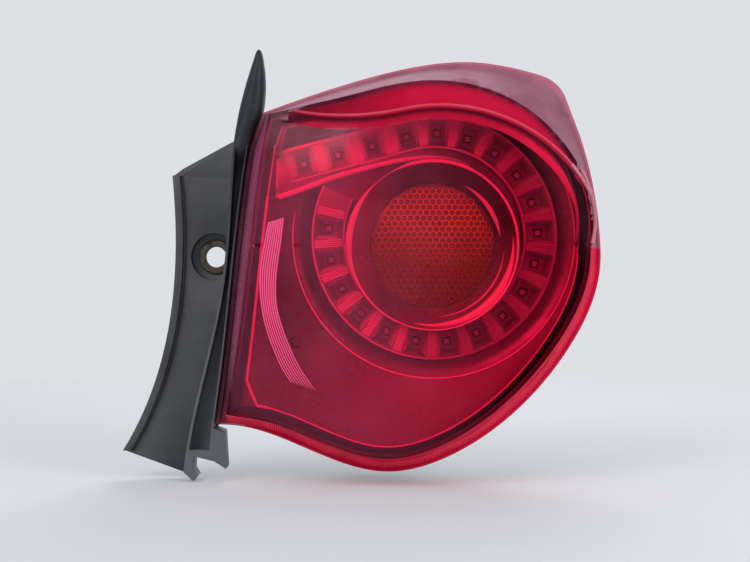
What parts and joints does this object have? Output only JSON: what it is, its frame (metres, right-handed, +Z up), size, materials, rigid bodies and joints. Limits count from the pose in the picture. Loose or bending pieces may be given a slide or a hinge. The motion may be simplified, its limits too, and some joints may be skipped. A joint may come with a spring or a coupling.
{
  "type": "tail light cluster",
  "caption": "Rear corner lamp of a car: domed red lens over a curved band of LEDs and a round amber turn signal, in a black housing with a screw flange and a trim strip.",
  "frame": {"origin": "centre of the fixing screw's hole, on the plane where its bush sits on the car body", "axes": "+X outboard, +Z up, +Y into the car body, so that the lens faces -Y"},
  "size_m": [0.2884, 0.132, 0.2573],
  "materials": {
    "lens_red": "clear red moulding, worn hazy",
    "housing_black": "fine grained",
    "trim_grey": "soft satin",
    "bush_steel": "dull, lightly rusted",
    "bezel_silver": "satin vacuum metallised",
    "screw_steel": "zinc plated",
    "reflector_bright": "vacuum metallised",
    "board_white": "white lacquered laminate",
    "led_red": "clear",
    "resistor_black": "plain",
    "socket_white": "plain",
    "turn_amber": "clear with small hexagonal prisms",
    "bulb_glass": "clear",
    "holder_grey": "plain",
    "seal_rubber": "soft",
    "connector_black": "plain",
    "pin_brass": "plain",
    "stud_white": "plain"
  },
  "bodies": {
    "root": {"outer_lens": "lens_red", "housing": "housing_black", "trim_strip": "trim_grey", "fixing_bush": "bush_steel", "inner_bezel": "bezel_silver", "bezel_screws": "screw_steel", "brow_flank": "reflector_bright", "led_reflector": "reflector_bright", "led_board": "board_white", "leds": "led_red", "board_resistors": "resistor_black", "board_socket": "socket_white", "turn_lens": "turn_amber", "turn_ring": "reflector_bright", "turn_reflector": "reflector_bright", "turn_bulb": "bulb_glass", "bulb_holder": "holder_grey", "bulb_holder_seal": "seal_rubber", "connector_shell": "connector_black", "connector_pins": "pin_brass", "locating_studs": "stud_white"}
  },
  "joints": []
}
